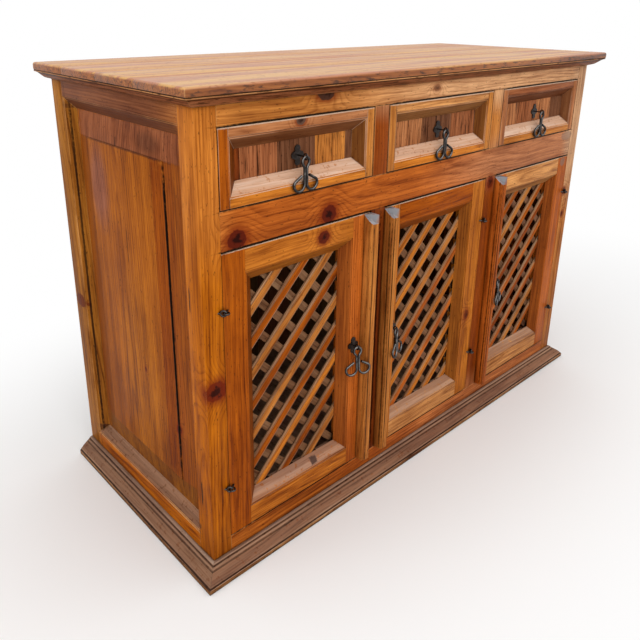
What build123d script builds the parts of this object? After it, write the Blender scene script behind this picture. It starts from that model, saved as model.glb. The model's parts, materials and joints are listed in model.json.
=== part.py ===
"""Pine sideboard: three drawers over three lattice doors, with iron drop pulls and wire hinges.

The origin is the centre of the footprint at floor level. X runs along the front, Y runs from the
front to the back, Z is up. Sketches on the faces of the case are drawn in the case's own places:
the distance from its left side, or from its back, and the height above the floor.
"""
from build123d import *
import os
from math import cos, radians, sin

os.makedirs("parts", exist_ok=True)

# Overall sizes
case_width = 1270.0
case_depth = 521.6
overhang = 34.0
hairline = 0.15
overrun = 5.0

# Top, cornice and plinth
top_thickness = 14.5
top_edge_radius = 5.0
top_under_radius = 2.0
top_board_shares = (0.27, 0.51, 0.76)
cornice_height = 20.5
cornice_reach = 33.0
plinth_height = 35.5

# Front members of the case
bay_count = 3
post_width = 41.0
rail_depth = 45.0
bottom_rail_low = 15.0
bottom_rail_top = 69.0
door_opening_height = 586.0
middle_rail_height = 70.5
drawer_opening_height = 137.5
top_rail_height = 54.5

# Bevel moulding round every framed opening
bevel_width = 24.0
bevel_depth = 18.5
quirk_width = 3.0
quirk_depth = 1.5

# Side frames and their raised panels
side_post_flat = 45.0
side_rail_low_flat = 70.0
side_top_flat = 50.5
side_panel_lap = 7.0
side_groove_spare = 1.5
side_tongue_thickness = 8.0
field_bevel_width = 50.0
field_bevel_rise = 6.0
field_step = 1.5

# Inside of the case
back_board_thickness = 10.0
back_board_count = 10
back_rail_depth = 25.0
back_middle_rail_height = 36.0
floor_thickness = 16.0
floor_rebate = 15.0
floor_board_count = 8
runner_thickness = 20.0
runner_ledge = 18.0
guide_height = 25.0
guide_gap = 1.0
stop_width = 30.0
stop_depth = 11.0
door_stop_height = 25.0
door_stop_inset = 45.0
drawer_stop_height = 8.5
stop_gap = 0.4

# Drawers
drawer_side_gap = 2.2
drawer_bottom_gap = 1.5
drawer_top_gap = 2.0
drawer_front_thickness = 26.0
drawer_stile_flat = 19.5
drawer_rail_flat = 16.5
drawer_panel_lap = 6.0
drawer_strip_shares = ((0.06, 0.34, 0.65, 0.92), (0.31, 0.67), (0.22, 0.52, 0.78))
box_inset = 4.0
box_side_height = 125.0
box_side_thickness = 12.0
box_back_gap = 30.6
box_bottom_thickness = 6.0
box_bottom_rise = 12.0
box_groove_depth = 5.0
runner_gap = 0.4

# Doors
door_thickness = 32.0
door_hinge_gap = 1.2
door_free_gap = 2.8
door_bottom_gap = 1.5
door_top_gap = 3.5
door_stile_flat = 48.5
door_top_flat = 43.5
door_bottom_flat = 40.5
hinge_sides = ("left", "right", "right")

# Lattice: the front layer rises to the right, the back layer falls to the right
lattice_lap = 8.0
slat_width = 20.0
back_slat_width = 16.0
slat_lip_thickness = 4.5
slat_centre_width = 14.0
slat_centre_rise = 1.5
slat_back_thickness = 6.0
front_slat_pitch = 66.2
back_slat_pitch = 65.4
front_slat_shares = (0.227, 0.091, 0.331)
back_slat_shares = (0.07, 0.16, 0.05)
shortest_slat = 26.0

# Cover strip down the free edge of each door
strip_width = 20.0
strip_proud = 22.0
strip_edge_gap = 0.4
strip_bead_radius = 3.0
strip_quirk = 1.4
strip_cut_front = 18.0
strip_cut_back = 1.0
strip_head_gap = 0.5
strip_foot_gap = 1.0

# Iron pulls
plate_width = 29.0
plate_height = 37.0
plate_lobe_radius = 6.4
plate_waist = 20.0
plate_thickness = 1.8
staple_wire = 1.4
staple_ring_radius = 5.2
staple_offset = 0.6
staple_leg_length = 16.0
staple_fit = 0.1
pull_height_on_drawer = 66.0
pull_height_on_door = 366.0
pull_inset_on_door = 41.5
pull_reach_on_drawer = 5.0
pull_reach_on_door = 14.0
drop_turn_on_door = 20.0
drop_tilt_on_door = 6.0
wire_radius = 2.6
wire_gap = 0.4
arch_radius = 8.2
neck_length = 14.0
straight_length = 26.4
loop_radius = 12.4
shoulder_radius = 8.0
shoulder_turn = 60.0
tail_length = 17.0

# Wire eye hinges
eye_wire = 1.75
eye_ring_radius = 5.0
eye_offset = 0.8
eye_reach = 9.2
eye_leg_length = 36.0
eye_fit = 0.1
hinge_heights = (184.0, 548.0)

# Places worked out from the sizes
left_x = -case_width / 2
front_y = (overhang - case_depth) / 2
back_y = front_y + case_depth
opening_width = (case_width - (bay_count + 1) * post_width) / bay_count
bay_pitch = opening_width + post_width
door_opening_top = bottom_rail_top + door_opening_height
middle_rail_top = door_opening_top + middle_rail_height
drawer_opening_top = middle_rail_top + drawer_opening_height
underside = drawer_opening_top + top_rail_height
side_rail_high_flat = underside - side_top_flat
inner_right = case_width - post_width
rail_span = inner_right - post_width
side_front_flat = case_depth - side_post_flat
side_panel_depth = bevel_depth + side_tongue_thickness
back_board_front = case_depth - back_board_thickness
back_rail_front = back_board_front - back_rail_depth
bay_lefts = [post_width + bay * bay_pitch for bay in range(bay_count)]

# Faces on which the sketches are drawn
front_face = Plane(origin=(left_x, front_y, 0), x_dir=(1, 0, 0), z_dir=(0, -1, 0))
left_face = Plane(origin=(left_x, back_y, 0), x_dir=(0, -1, 0), z_dir=(-1, 0, 0))
low_corner = (Align.MIN, Align.MIN)
from_end = (Align.CENTER, Align.CENTER, Align.MIN)


def save(piece, name):
    """Label one finished piece and write its file."""
    piece.label = name
    export_step(piece, f"parts/{name}.step")


def bar(face, left, right, low, high, front, back):
    """A plain rectangular member, drawn on a face and set in from it."""
    with BuildPart() as member:
        with BuildSketch(face.offset(-front)):
            with Locations((left, low)):
                Rectangle(right - left, high - low, align=low_corner)
        extrude(amount=front - back)
    return member.part


def bevel_recess(face, left, right, low, high):
    """The stepped bevel that is moulded on the inner edges of four framed members."""
    centre = ((left + right) / 2, (low + high) / 2)
    width = right - left
    height = high - low
    with BuildPart() as recess:
        with BuildSketch(face.offset(overrun)):
            with Locations(centre):
                Rectangle(width, height)
        extrude(amount=-overrun - quirk_depth)
        with BuildSketch(face.offset(-quirk_depth)):
            with Locations(centre):
                Rectangle(width - 2 * quirk_width, height - 2 * quirk_width)
        with BuildSketch(face.offset(-bevel_depth)):
            with Locations(centre):
                Rectangle(width - 2 * bevel_width, height - 2 * bevel_width)
        loft(ruled=True)
    return recess.part


def stile_outline(outer, inner, foot, head, low, high):
    """An upright member: flat width, with the mitred bevel between the two rails."""
    lip = inner + bevel_width if inner > outer else inner - bevel_width
    points = [(outer, foot), (inner, foot), (inner, low), (lip, low + bevel_width)]
    points += [(lip, high - bevel_width), (inner, high), (inner, head), (outer, head)]
    return points


def rail_outline(left, right, outer, inner):
    """A cross member between two stiles, with its bevel mitred at both ends."""
    start = left + hairline
    end = right - hairline
    lip = inner + bevel_width if inner > outer else inner - bevel_width
    points = [(start, outer), (end, outer), (end, inner), (end - bevel_width, lip)]
    points += [(start + bevel_width, lip), (start, inner)]
    return points


def draw(points):
    """One closed outline in the sketch that is open."""
    Polygon(*points, align=None)


# Top boards
with BuildPart() as top_boards:
    with BuildSketch(Plane.XY.offset(underside)):
        Rectangle(case_width + 2 * overhang, case_depth + overhang)
    extrude(amount=top_thickness)
    upper_edges = top_boards.faces().sort_by(Axis.Z)[-1].edges()
    lower_edges = top_boards.faces().sort_by(Axis.Z)[0].edges()
    fillet(upper_edges.sort_by(Axis.Y)[:-1], radius=top_edge_radius)
    fillet(lower_edges.sort_by(Axis.Y)[:-1], radius=top_under_radius)
    board_depth = case_depth + overhang
    seams = [(0, share * board_depth - board_depth / 2) for share in top_board_shares]
    with BuildSketch(Plane.XY.offset(underside - overrun)):
        with Locations(*seams):
            Rectangle(case_width + 4 * overhang, hairline)
    extrude(amount=top_thickness + 2 * overrun, mode=Mode.SUBTRACT)
save(top_boards.part, "top_boards")

# Mouldings: outlines as shares of their reach and height, out from the case and up
cornice_shares = ((0, 0), (0.07, 0.05), (0.21, 0.11), (0.39, 0.21), (0.56, 0.42), (0.68, 0.58))
cornice_shares += ((0.78, 0.72), (0.91, 0.82), (1, 0.86), (1, 1), (0, 1))
plinth_shares = ((0, 0), (1, 0), (1, 0.27), (0.9, 0.36), (0.7, 0.56), (0.42, 0.75), (0.25, 0.87))
plinth_shares += ((0.18, 0.96), (0, 1))
mitre_left = Plane(origin=(left_x, front_y, 0), z_dir=(1, -1, 0))
mitre_right = Plane(origin=(-left_x, front_y, 0), z_dir=(-1, -1, 0))


def moulding_outline(shares, reach, low, height):
    """The section of a moulding, a hairline off the case."""
    return [(hairline + across * reach, low + up * height) for across, up in shares]


def moulding_front(outline, reach):
    """The front length, mitred at both ends."""
    end = Plane(origin=(left_x - reach, front_y, 0), x_dir=(0, -1, 0), z_dir=(-1, 0, 0))
    with BuildPart() as length:
        with BuildSketch(end):
            draw(outline)
        extrude(amount=-case_width - 2 * reach)
        split(bisect_by=mitre_left.offset(hairline), keep=Keep.TOP)
        split(bisect_by=mitre_right.offset(hairline), keep=Keep.TOP)
    return length.part


def moulding_left(outline, reach):
    """The left length, mitred at the front and flush with the back."""
    end = Plane(origin=(left_x, front_y - reach, 0), x_dir=(-1, 0, 0), z_dir=(0, 1, 0))
    with BuildPart() as length:
        with BuildSketch(end):
            draw(outline)
        extrude(amount=case_depth + reach)
        split(bisect_by=mitre_left, keep=Keep.BOTTOM)
    return length.part


for name, shares, reach, low, height in (
    ("cornice", cornice_shares, cornice_reach, underside - cornice_height, cornice_height - hairline),
    ("plinth", plinth_shares, overhang - hairline, 0, plinth_height),
):
    section = moulding_outline(shares, reach, low, height)
    left_length = moulding_left(section, reach)
    save(moulding_front(section, reach), f"{name}_front")
    save(left_length, f"{name}_left")
    save(mirror(left_length, about=Plane.YZ), f"{name}_right")

# Corner posts and side rails, cut by one bevel and one groove for the side panel
side_lip_left = side_post_flat + bevel_width
side_lip_right = side_front_flat - bevel_width
side_lip_low = side_rail_low_flat + bevel_width
side_lip_high = side_rail_high_flat - bevel_width
side_flats = (side_post_flat, side_front_flat, side_rail_low_flat, side_rail_high_flat)
side_bevel = bevel_recess(left_face, *side_flats)
groove_lap = side_panel_lap + side_groove_spare
side_groove = bar(
    left_face,
    side_lip_left - groove_lap,
    side_lip_right + groove_lap,
    side_lip_low - groove_lap,
    side_lip_high + groove_lap,
    bevel_depth,
    side_panel_depth + hairline,
)


def eye_planes(bay, part_side):
    """Where a hinge eye stands at each height, and the way its leg runs into the wood."""
    hinge_left = hinge_sides[bay] == "left"
    opening_edge = bay_lefts[bay] if hinge_left else bay_lefts[bay] + opening_width
    to_door = 1 if hinge_left else -1
    axis_x = left_x + opening_edge + to_door * door_hinge_gap / 2
    axis_y = front_y - eye_reach
    way = to_door if part_side == "door" else -to_door
    return [Plane(origin=(axis_x, axis_y, height), z_dir=(way, 1, 0)) for height in hinge_heights]


def leg_holes(planes):
    """The slanting holes that the legs of hinge eyes are driven into."""
    with BuildPart() as holes:
        with Locations(*planes):
            Cylinder(eye_wire + eye_fit, eye_leg_length + eye_wire, align=from_end)
    return holes.part


post_edges = {"post_back": (0, side_post_flat), "post_front": (case_depth, side_front_flat)}
post_ends = (0, underside - hairline, side_rail_low_flat, side_rail_high_flat)
left_posts = {}
for name, (outer, inner) in post_edges.items():
    with BuildPart() as post:
        with BuildSketch(left_face):
            draw(stile_outline(outer, inner, *post_ends))
        extrude(amount=-post_width)
        add(side_bevel, mode=Mode.SUBTRACT)
        add(side_groove, mode=Mode.SUBTRACT)
    left_posts[name] = post.part

save(left_posts["post_back"], "post_back_left")
save(mirror(left_posts["post_back"], about=Plane.YZ), "post_back_right")

with BuildPart() as post_front_left:
    add(left_posts["post_front"])
    add(leg_holes(eye_planes(0, "case")), mode=Mode.SUBTRACT)
save(post_front_left.part, "post_front_left")

with BuildPart() as post_front_right:
    mirror(left_posts["post_front"], about=Plane.YZ)
    add(leg_holes(eye_planes(2, "case")), mode=Mode.SUBTRACT)
save(post_front_right.part, "post_front_right")

with BuildPart() as side_rails_left:
    with BuildSketch(left_face):
        draw(rail_outline(side_post_flat, side_front_flat, bottom_rail_low, side_rail_low_flat))
        draw(rail_outline(side_post_flat, side_front_flat, underside - hairline, side_rail_high_flat))
    extrude(amount=-post_width)
    add(side_bevel, mode=Mode.SUBTRACT)
    add(side_groove, mode=Mode.SUBTRACT)
save(side_rails_left.part, "side_rails_left")
save(mirror(side_rails_left.part, about=Plane.YZ), "side_rails_right")

# Raised-and-fielded side panels
side_panel_width = side_lip_right - side_lip_left
side_panel_height = side_lip_high - side_lip_low
side_panel_centre = ((side_lip_left + side_lip_right) / 2, (side_lip_low + side_lip_high) / 2)
field_width = side_panel_width - 2 * field_bevel_width
field_height = side_panel_height - 2 * field_bevel_width
with BuildPart() as side_panel_left:
    with BuildSketch(left_face.offset(-bevel_depth - hairline)):
        with Locations(side_panel_centre):
            Rectangle(side_panel_width + 2 * side_panel_lap, side_panel_height + 2 * side_panel_lap)
    extrude(amount=hairline - side_tongue_thickness)
    with BuildSketch(left_face.offset(-bevel_depth - hairline)):
        with Locations(side_panel_centre):
            Rectangle(side_panel_width - 2 * hairline, side_panel_height - 2 * hairline)
    with BuildSketch(left_face.offset(field_bevel_rise - bevel_depth)):
        with Locations(side_panel_centre):
            Rectangle(field_width, field_height)
    loft(ruled=True)
    with BuildSketch(left_face.offset(field_bevel_rise - bevel_depth)):
        with Locations(side_panel_centre):
            Rectangle(field_width, field_height)
    extrude(amount=field_step)
save(side_panel_left.part, "side_panel_left")
save(mirror(side_panel_left.part, about=Plane.YZ), "side_panel_right")

# Front rails
rail_left = post_width + hairline
rail_right = inner_right - hairline
save(
    bar(front_face, rail_left, rail_right, drawer_opening_top, underside - hairline, 0, rail_depth),
    "top_rail",
)
save(
    bar(front_face, rail_left, rail_right, door_opening_top, middle_rail_top, 0, rail_depth),
    "middle_rail",
)

with BuildPart() as bottom_rail:
    add(bar(front_face, rail_left, rail_right, bottom_rail_low, bottom_rail_top, 0, rail_depth))
    with BuildSketch(front_face.offset(floor_rebate - rail_depth)):
        with Locations((rail_left - overrun, bottom_rail_top - floor_thickness - hairline)):
            Rectangle(rail_span + 2 * overrun, floor_thickness + overrun, align=low_corner)
    extrude(amount=-floor_rebate - overrun, mode=Mode.SUBTRACT)
save(bottom_rail.part, "bottom_rail")

# Uprights between the drawers and between the doors
divider_lefts = [bay_left - post_width for bay_left in bay_lefts[1:]]


def uprights(low, high):
    """Two uprights, one at each division of the front."""
    with BuildPart() as pair:
        with BuildSketch(front_face):
            with Locations(*[(left, low + hairline) for left in divider_lefts]):
                Rectangle(post_width, high - low - 2 * hairline, align=low_corner)
        extrude(amount=-rail_depth)
    return pair.part


save(uprights(middle_rail_top, drawer_opening_top), "drawer_dividers")

with BuildPart() as door_partitions:
    add(uprights(bottom_rail_top, door_opening_top))
    add(leg_holes(eye_planes(1, "case")), mode=Mode.SUBTRACT)
save(door_partitions.part, "door_partitions")

# Back rails, the lowest one rebated for the floor
with BuildPart() as back_rails:
    with BuildSketch(front_face.offset(-back_rail_front)):
        with Locations((rail_left, bottom_rail_low)):
            Rectangle(rail_right - rail_left, bottom_rail_top - bottom_rail_low, align=low_corner)
        with Locations((rail_left, middle_rail_top - back_middle_rail_height)):
            Rectangle(rail_right - rail_left, back_middle_rail_height, align=low_corner)
        with Locations((rail_left, drawer_opening_top)):
            Rectangle(rail_right - rail_left, underside - hairline - drawer_opening_top, align=low_corner)
    extrude(amount=hairline - back_rail_depth)
    with BuildSketch(front_face.offset(overrun - back_rail_front)):
        with Locations((rail_left - overrun, bottom_rail_top - floor_thickness - hairline)):
            Rectangle(rail_span + 2 * overrun, floor_thickness + overrun, align=low_corner)
    extrude(amount=-floor_rebate - overrun, mode=Mode.SUBTRACT)
save(back_rails.part, "back_rails")

# Back boards, upright, with a fine gap between neighbours
back_board_pitch = rail_span / back_board_count
back_board_height = underside - hairline - bottom_rail_low
with BuildPart() as back_boards:
    with BuildSketch(front_face.offset(-back_board_front)):
        for index in range(back_board_count):
            with Locations((post_width + index * back_board_pitch + hairline, bottom_rail_low)):
                Rectangle(back_board_pitch - 2 * hairline, back_board_height, align=low_corner)
    extrude(amount=-back_board_thickness)
save(back_boards.part, "back_boards")

# Floor boards, running from the front to the back in the rebates
floor_board_pitch = rail_span / floor_board_count
floor_front = rail_depth - floor_rebate + hairline
floor_back = back_rail_front + floor_rebate - hairline
with BuildPart() as floor_boards:
    with BuildSketch(front_face.offset(-floor_front)):
        for index in range(floor_board_count):
            board_left = post_width + index * floor_board_pitch + hairline
            with Locations((board_left, bottom_rail_top - floor_thickness)):
                Rectangle(floor_board_pitch - 2 * hairline, floor_thickness, align=low_corner)
    extrude(amount=floor_front - floor_back)
save(floor_boards.part, "floor_boards")

# Drawer runners with their guides, and kickers above the drawers
guide_reach = drawer_side_gap + box_inset - guide_gap
ledge_reach = guide_reach + runner_ledge
bearer_edges = [(post_width + hairline, post_width)]
bearer_edges += [(left, left + post_width) for left in divider_lefts]
bearer_edges += [(inner_right, inner_right - hairline)]
bearer_front = rail_depth + hairline
bearer_back = back_rail_front - hairline


def bearers(reach, low, height):
    """Four lengths from front to back, one beside or between each pair of drawers."""
    with BuildPart() as lengths:
        for index, (left, right) in enumerate(bearer_edges):
            start = left if index == 0 else left - reach
            end = right if index == len(bearer_edges) - 1 else right + reach
            with BuildSketch(front_face.offset(-bearer_front)):
                with Locations((start, low)):
                    Rectangle(end - start, height, align=low_corner)
            extrude(amount=bearer_front - bearer_back)
    return lengths.part


with BuildPart() as drawer_runners:
    add(bearers(ledge_reach, middle_rail_top - runner_thickness, runner_thickness))
    add(bearers(guide_reach, middle_rail_top + hairline, guide_height))
save(drawer_runners.part, "drawer_runners")
save(bearers(ledge_reach, drawer_opening_top, runner_thickness), "drawer_kickers")

# Stop blocks: two on the rail for each drawer, one under it for each door
with BuildPart() as stop_blocks:
    drawer_stop_lefts = []
    door_stop_lefts = []
    for bay, bay_left in enumerate(bay_lefts):
        quarter = opening_width / 4
        drawer_stop_lefts += [bay_left + quarter - stop_width / 2, bay_left + 3 * quarter - stop_width / 2]
        far_left = bay_left + opening_width - door_stop_inset - stop_width
        door_stop_lefts.append(far_left if hinge_sides[bay] == "left" else bay_left + door_stop_inset)
    with BuildSketch(front_face.offset(-drawer_front_thickness - stop_gap)):
        with Locations(*[(left, middle_rail_top + hairline) for left in drawer_stop_lefts]):
            Rectangle(stop_width, drawer_stop_height, align=low_corner)
    extrude(amount=-stop_depth)
    door_stop_low = door_opening_top - door_stop_height - hairline
    with BuildSketch(front_face.offset(-door_thickness - stop_gap)):
        with Locations(*[(left, door_stop_low) for left in door_stop_lefts]):
            Rectangle(stop_width, door_stop_height, align=low_corner)
    extrude(amount=-stop_depth)
save(stop_blocks.part, "stop_blocks")


# Iron hinge eyes: a ring and a leg, the case's ring upright and the door's ring level
def hinge_eyes(planes, upright):
    """One eye at each plane. The upright ring has its wire on the axis, the level ring goes round it."""
    with BuildPart() as eyes:
        for plane in planes:
            way = plane.z_dir
            if upright:
                centre = plane.origin + way * eye_ring_radius
                ring_axis = way.cross(Vector(0, 0, 1))
            else:
                centre = plane.origin + way * eye_offset
                ring_axis = Vector(0, 0, 1)
            with Locations(Plane(origin=centre, z_dir=ring_axis)):
                Torus(eye_ring_radius, eye_wire)
            with Locations(Plane(origin=centre + way * eye_ring_radius, z_dir=way)):
                Cylinder(
                    eye_wire,
                    eye_leg_length - eye_ring_radius - (centre - plane.origin).length,
                    align=from_end,
                )
    return eyes.part


with BuildPart() as hinge_eyes_case:
    for bay in range(bay_count):
        add(hinge_eyes(eye_planes(bay, "case"), True))
save(hinge_eyes_case.part, "hinge_eyes_case")


# Pull plates, staples and drops
def staple_plane(x, height, seat_depth, reach):
    """The point that the drop hangs on, facing the wood, and how far the plate's seat is behind it."""
    plane = Plane(origin=(left_x + x, front_y - reach, height), x_dir=(1, 0, 0), z_dir=(0, 1, 0))
    return plane, reach + seat_depth


def pull_plate(x, height, seat_depth, reach):
    """The lobed plate on its seat, and the staple that goes through it."""
    plane, seat = staple_plane(x, height, seat_depth, reach)
    side_lobe = plate_width / 2 - plate_lobe_radius
    end_lobe = plate_height / 2 - plate_lobe_radius
    leg_start = staple_offset + staple_ring_radius
    with BuildPart() as plate:
        with BuildSketch(plane.offset(seat - plate_thickness - hairline)):
            Rectangle(plate_waist, plate_waist, rotation=45)
            with Locations((-side_lobe, 0), (side_lobe, 0), (0, end_lobe), (0, -end_lobe)):
                Circle(plate_lobe_radius)
            Circle(staple_wire + staple_fit, mode=Mode.SUBTRACT)
        extrude(amount=plate_thickness)
        with Locations(Plane(origin=plane.origin + plane.z_dir * staple_offset, z_dir=plane.x_dir)):
            Torus(staple_ring_radius, staple_wire)
        with Locations(plane.offset(leg_start)):
            Cylinder(staple_wire, seat - leg_start + staple_leg_length / 2, align=from_end)
    return plate.part


def staple_hole(x, height, seat_depth, reach):
    """The hole in the wood for the staple's leg."""
    plane, seat = staple_plane(x, height, seat_depth, reach)
    with BuildPart() as hole:
        with Locations(plane.offset(seat - overrun)):
            Cylinder(staple_wire + staple_fit, overrun + staple_leg_length, align=from_end)
    return hole.part


def pull_drop(x, height, reach, turn, tilt):
    """The bent-wire drop: an arch, two legs side by side and a teardrop loop on each side.

    On a door it hangs turned and tilted, because one loop lies in front of the cover strip.
    """
    across = Vector(cos(radians(turn)), -sin(radians(turn)), 0)
    out = Vector(-sin(radians(turn)), -cos(radians(turn)), 0)
    face = out * cos(radians(tilt)) + Vector(0, 0, sin(radians(tilt)))
    hang = Plane(origin=(left_x + x, front_y - reach, height), x_dir=across, z_dir=face)
    waist = wire_radius + wire_gap / 2
    neck_foot = -arch_radius - neck_length
    straight_foot = neck_foot - straight_length
    middle = (-(arch_radius + waist) / 2, -arch_radius - neck_length / 2)
    with BuildLine() as half:
        arch = CenterArc((0, -arch_radius), arch_radius, 90, 90)
        upper_neck = TangentArc(arch @ 1, middle, tangent=(0, -1))
        lower_neck = TangentArc(upper_neck @ 1, (-waist, neck_foot), tangent=upper_neck % 1)
        straight = Line(lower_neck @ 1, (-waist, straight_foot))
        belly = JernArc(straight @ 1, (0, -1), loop_radius, -180)
        shoulder = JernArc(belly @ 1, (0, 1), shoulder_radius, -shoulder_turn)
        PolarLine(shoulder @ 1, tail_length, direction=shoulder % 1)
    with BuildPart() as drop:
        with BuildSketch(Plane(origin=hang.origin, x_dir=hang.z_dir, z_dir=-hang.x_dir)):
            Circle(wire_radius)
        sweep(path=hang.from_local_coords(half.wires()[0]))
        mirror(about=Plane(origin=hang.origin, z_dir=hang.x_dir))
    return drop.part


# Drawers
drawer_height = drawer_opening_height - drawer_bottom_gap - drawer_top_gap
drawer_width = opening_width - 2 * drawer_side_gap
drawer_low = middle_rail_top + drawer_bottom_gap
drawer_high = drawer_low + drawer_height
box_low = middle_rail_top + runner_gap
box_front = drawer_front_thickness + hairline
box_back = back_rail_front - box_back_gap
bottom_low = box_low + box_bottom_rise
bottom_high = bottom_low + box_bottom_thickness

for bay, bay_left in enumerate(bay_lefts):
    drawer = f"drawer_{bay + 1}"
    left = bay_left + drawer_side_gap
    right = left + drawer_width
    centre_x = bay_left + opening_width / 2
    flat_left = left + drawer_stile_flat
    flat_right = right - drawer_stile_flat
    flat_low = drawer_low + drawer_rail_flat
    flat_high = drawer_high - drawer_rail_flat
    panel_left = flat_left + bevel_width - drawer_panel_lap
    panel_right = flat_right - bevel_width + drawer_panel_lap
    panel_low = flat_low + bevel_width - drawer_panel_lap
    panel_high = flat_high - bevel_width + drawer_panel_lap
    panel_width = panel_right - panel_left
    pull_z = middle_rail_top + pull_height_on_drawer
    pull = (centre_x, pull_z, bevel_depth + hairline, pull_reach_on_drawer)

    with BuildPart() as front:
        with BuildSketch(front_face):
            draw(stile_outline(left, flat_left, drawer_low, drawer_high, flat_low, flat_high))
            draw(stile_outline(right, flat_right, drawer_low, drawer_high, flat_low, flat_high))
            draw(rail_outline(flat_left, flat_right, drawer_low, flat_low))
            draw(rail_outline(flat_left, flat_right, drawer_high, flat_high))
        extrude(amount=-drawer_front_thickness)
        add(bevel_recess(front_face, flat_left, flat_right, flat_low, flat_high), mode=Mode.SUBTRACT)
        with BuildSketch(front_face.offset(-bevel_depth)):
            with Locations(((panel_left + panel_right) / 2, (panel_low + panel_high) / 2)):
                Rectangle(panel_width + 2 * hairline, panel_high - panel_low + 2 * hairline)
        extrude(amount=-drawer_front_thickness, mode=Mode.SUBTRACT)
    save(front.part, f"{drawer}_front")

    with BuildPart() as panel:
        with BuildSketch(front_face.offset(-bevel_depth - hairline)):
            with Locations((panel_left, panel_low)):
                Rectangle(panel_width, panel_high - panel_low, align=low_corner)
            seams = [panel_left + share * panel_width for share in drawer_strip_shares[bay]]
            with Locations(*[(seam, panel_low) for seam in seams]):
                Rectangle(
                    hairline, panel_high - panel_low, align=(Align.CENTER, Align.MIN), mode=Mode.SUBTRACT
                )
        extrude(amount=bevel_depth + hairline - drawer_front_thickness)
        add(staple_hole(*pull), mode=Mode.SUBTRACT)
    save(panel.part, f"{drawer}_panel")

    with BuildPart() as box:
        box_left = left + box_inset
        box_right = right - box_inset
        inner_left = box_left + box_side_thickness
        inner_right_side = box_right - box_side_thickness
        with BuildSketch(front_face.offset(-box_front)):
            with Locations((box_left, box_low), (inner_right_side, box_low)):
                Rectangle(box_side_thickness, box_side_height, align=low_corner)
        extrude(amount=box_front - box_back)
        with BuildSketch(front_face.offset(-box_front + overrun)):
            with Locations((inner_left - box_groove_depth, bottom_low - hairline)):
                Rectangle(
                    inner_right_side - inner_left + 2 * box_groove_depth,
                    box_bottom_thickness + 2 * hairline,
                    align=low_corner,
                )
        extrude(amount=box_front - box_back - 2 * overrun, mode=Mode.SUBTRACT)
        with BuildSketch(front_face.offset(-box_front)):
            with Locations((inner_left - box_groove_depth + hairline, bottom_low)):
                Rectangle(
                    inner_right_side - inner_left + 2 * (box_groove_depth - hairline),
                    box_bottom_thickness,
                    align=low_corner,
                )
        extrude(amount=box_front - box_back)
        with BuildSketch(front_face.offset(box_side_thickness - box_back)):
            with Locations((inner_left + hairline, bottom_high + hairline)):
                Rectangle(
                    inner_right_side - inner_left - 2 * hairline,
                    box_low + box_side_height - bottom_high - hairline,
                    align=low_corner,
                )
        extrude(amount=-box_side_thickness)
    save(box.part, f"{drawer}_box")

    save(pull_plate(*pull), f"{drawer}_pull_plate")
    save(pull_drop(centre_x, pull_z, pull_reach_on_drawer, 0, 0), f"{drawer}_pull_drop")

# Doors
door_width = opening_width - door_hinge_gap - door_free_gap
door_low = bottom_rail_top + door_bottom_gap
door_high = door_opening_top - door_top_gap
lattice_depth = bevel_depth + hairline


def slat_places(width, height, pitch, share):
    """Distances of the slats' centre lines from a corner, measured along the lower edge."""
    places = []
    place = pitch * share - height
    while place < width:
        run = min(width, height + place) - max(0, place)
        if run > shortest_slat:
            places.append(place)
        place += pitch
    return places


def lattice_layer(plane, width, height, places, slat, falling):
    """The slats of one layer, trimmed to the rebate that holds the lattice."""
    reach = 2 * (width + height)
    turn = -45 if falling else 45
    with BuildSketch(plane) as layer:
        for place in places:
            middle = width - place if falling else place
            with Locations((middle - width / 2, -height / 2)):
                Rectangle(reach, slat, rotation=turn)
        Rectangle(width, height, mode=Mode.INTERSECT)
    return layer.sketch


def strip_cut(inner, outer, high):
    """What is cut off a cover strip's top: above a slope, and left of a diagonal from back to front."""
    slope_origin = (left_x + inner - overrun, front_y, 0)
    with BuildPart() as cut:
        with BuildSketch(Plane(origin=slope_origin, x_dir=(0, 1, 0), z_dir=(1, 0, 0))):
            draw(
                [
                    (0, high - strip_cut_back),
                    (-strip_proud, high - strip_cut_front),
                    (-strip_proud - overrun, high - strip_cut_front),
                    (-strip_proud - overrun, high + overrun),
                    (0, high + overrun),
                ]
            )
        extrude(amount=outer - inner + 2 * overrun)
        with BuildSketch(Plane(origin=(left_x, front_y, high - 2 * strip_cut_front))):
            draw(
                [
                    (inner, 0),
                    (outer, -strip_proud),
                    (outer + overrun, -strip_proud),
                    (outer + overrun, -strip_proud - 2 * overrun),
                    (inner - 2 * overrun, -strip_proud - 2 * overrun),
                    (inner - 2 * overrun, 0),
                ]
            )
        extrude(amount=2 * strip_cut_front + 2 * overrun, mode=Mode.INTERSECT)
    return cut.part


def strip_outline(inner, outer):
    """Section of the cover strip, seen from above: a bead between two quirks on its left corner."""
    step = strip_quirk + 2 * strip_bead_radius
    points = [(inner, -hairline), (inner, step - strip_proud), (inner + strip_quirk, step - strip_proud)]
    points += [(inner + strip_quirk, step - strip_proud - strip_quirk)]
    bead_start = (inner + strip_quirk, strip_bead_radius - strip_proud)
    bead_end = (inner + strip_quirk + strip_bead_radius, -strip_proud)
    last = [(inner + step, -strip_proud), (inner + step, strip_quirk - strip_proud)]
    return points, bead_start, bead_end, last


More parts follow.
